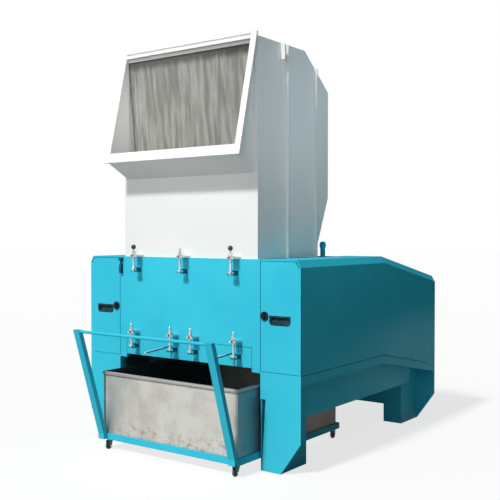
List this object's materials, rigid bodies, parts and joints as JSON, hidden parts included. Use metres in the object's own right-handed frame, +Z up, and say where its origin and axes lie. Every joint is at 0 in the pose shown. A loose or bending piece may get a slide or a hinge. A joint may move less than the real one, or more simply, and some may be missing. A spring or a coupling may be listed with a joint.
{
  "type": "plastic granulator with feed hopper and collecting cart",
  "caption": "Low two-cabinet shredder for plastic on four legs, with a tall ribbed feed hopper, a slanted curtained mouth, swing-bolt clamps, hinged cabinet doors and a wheeled bin cart",
  "frame": {"origin": "centre of the footprint of the base and its cart on the floor", "axes": "+Z up, the front with the mouth and the cart faces -Y, +X is to the right of someone who looks along +Y at the front"},
  "size_m": [1.844, 2.486, 2.7794],
  "materials": {
    "turquoise_paint": "satin turquoise enamel on sheet steel",
    "white_paint": "satin white enamel on sheet steel",
    "stainless_sheet": "brushed stainless sheet with stains",
    "plated_steel": "bright plated steel",
    "dark_steel": "dark painted steel",
    "black_plastic": "black moulded plastic",
    "wheel_rubber": "dark rubber tread",
    "strip_plastic": "dusty grey flexible strips"
  },
  "bodies": {
    "machine": {"left_housing": "turquoise_paint", "right_housing": "turquoise_paint", "left_skirt": "turquoise_paint", "right_skirt": "turquoise_paint", "front_left_leg": "turquoise_paint", "front_right_leg": "turquoise_paint", "rear_left_leg": "turquoise_paint", "rear_right_leg": "turquoise_paint", "left_beam": "turquoise_paint", "right_beam": "turquoise_paint", "rear_cross_plate": "turquoise_paint", "rear_cover": "turquoise_paint", "cutting_chamber": "turquoise_paint", "deck_plate": "turquoise_paint", "front_panel": "turquoise_paint", "screen_flap": "turquoise_paint", "interlock_switch": "dark_steel", "hopper_front_wall": "white_paint", "hopper_left_wall": "white_paint", "hopper_right_wall": "white_paint", "hopper_rear_wall": "white_paint", "hopper_roof": "white_paint", "mouth_chute": "white_paint", "mouth_frame": "white_paint", "curtain_rail": "white_paint", "strip_curtain": "strip_plastic"},
    "left_door_body": {"left_door": "turquoise_paint", "left_door_pull": "black_plastic", "left_door_lock": "black_plastic"},
    "right_door_body": {"right_door": "turquoise_paint", "right_door_pull": "black_plastic", "right_door_lock": "black_plastic"},
    "upper_left_clamp": {"upper_left_bolt": "plated_steel"},
    "upper_middle_clamp": {"upper_middle_bolt": "plated_steel"},
    "upper_right_clamp": {"upper_right_bolt": "plated_steel"},
    "lower_far_left_clamp": {"lower_far_left_bolt": "plated_steel"},
    "lower_near_left_clamp": {"lower_near_left_bolt": "plated_steel"},
    "lower_near_right_clamp": {"lower_near_right_bolt": "plated_steel"},
    "lower_far_right_clamp": {"lower_far_right_bolt": "plated_steel"},
    "cart": {"cart_frame": "turquoise_paint", "cart_bin": "stainless_sheet", "cart_handle": "turquoise_paint", "rear_left_caster": "dark_steel", "rear_right_caster": "dark_steel"},
    "front_left_swivel": {"front_left_caster": "dark_steel"},
    "front_right_swivel": {"front_right_caster": "dark_steel"},
    "front_left_roller": {"front_left_wheel": "wheel_rubber"},
    "front_right_roller": {"front_right_wheel": "wheel_rubber"},
    "rear_left_roller": {"rear_left_wheel": "wheel_rubber"},
    "rear_right_roller": {"rear_right_wheel": "wheel_rubber"}
  },
  "joints": [
    {"name": "left_door_hinge", "type": "hinge", "parent": "machine", "child": "left_door_body", "pos_m": [-0.914, -0.751, 0.98], "axis": [0, 0, -1], "range_deg": [0, 100]},
    {"name": "right_door_hinge", "type": "hinge", "parent": "machine", "child": "right_door_body", "pos_m": [0.914, -0.751, 0.98], "axis": [0, 0, 1], "range_deg": [0, 100]},
    {"name": "upper_left_swing", "type": "hinge", "parent": "machine", "child": "upper_left_clamp", "pos_m": [-0.427, -0.817, 1.248], "axis": [1, 0, 0], "range_deg": [0, 100]},
    {"name": "upper_middle_swing", "type": "hinge", "parent": "machine", "child": "upper_middle_clamp", "pos_m": [0, -0.817, 1.248], "axis": [1, 0, 0], "range_deg": [0, 100]},
    {"name": "upper_right_swing", "type": "hinge", "parent": "machine", "child": "upper_right_clamp", "pos_m": [0.427, -0.817, 1.248], "axis": [1, 0, 0], "range_deg": [0, 100]},
    {"name": "lower_far_left_swing", "type": "hinge", "parent": "machine", "child": "lower_far_left_clamp", "pos_m": [-0.45, -0.817, 0.712], "axis": [1, 0, 0], "range_deg": [0, 100]},
    {"name": "lower_near_left_swing", "type": "hinge", "parent": "machine", "child": "lower_near_left_clamp", "pos_m": [-0.09, -0.817, 0.712], "axis": [1, 0, 0], "range_deg": [0, 100]},
    {"name": "lower_near_right_swing", "type": "hinge", "parent": "machine", "child": "lower_near_right_clamp", "pos_m": [0.09, -0.817, 0.712], "axis": [1, 0, 0], "range_deg": [0, 100]},
    {"name": "lower_far_right_swing", "type": "hinge", "parent": "machine", "child": "lower_far_right_clamp", "pos_m": [0.45, -0.817, 0.712], "axis": [1, 0, 0], "range_deg": [0, 100]},
    {"name": "cart_roll", "type": "slide", "parent": "machine", "child": "cart", "axis": [0, -1, 0], "range_m": [0, 1]},
    {"name": "front_left_swivel_turn", "type": "hinge", "parent": "cart", "child": "front_left_swivel", "pos_m": [-0.5345, -0.942, 0.06], "axis": [0, 0, 1], "continuous": true},
    {"name": "front_right_swivel_turn", "type": "hinge", "parent": "cart", "child": "front_right_swivel", "pos_m": [0.5725, -0.942, 0.06], "axis": [0, 0, 1], "continuous": true},
    {"name": "front_left_spin", "type": "hinge", "parent": "front_left_swivel", "child": "front_left_roller", "pos_m": [-0.5345, -0.956, 0.027], "axis": [1, 0, 0], "continuous": true},
    {"name": "front_right_spin", "type": "hinge", "parent": "front_right_swivel", "child": "front_right_roller", "pos_m": [0.5725, -0.956, 0.027], "axis": [1, 0, 0], "continuous": true},
    {"name": "rear_left_spin", "type": "hinge", "parent": "cart", "child": "rear_left_roller", "pos_m": [-0.5345, 0.225, 0.027], "axis": [1, 0, 0], "continuous": true},
    {"name": "rear_right_spin", "type": "hinge", "parent": "cart", "child": "rear_right_roller", "pos_m": [0.5725, 0.225, 0.027], "axis": [1, 0, 0], "continuous": true}
  ]
}
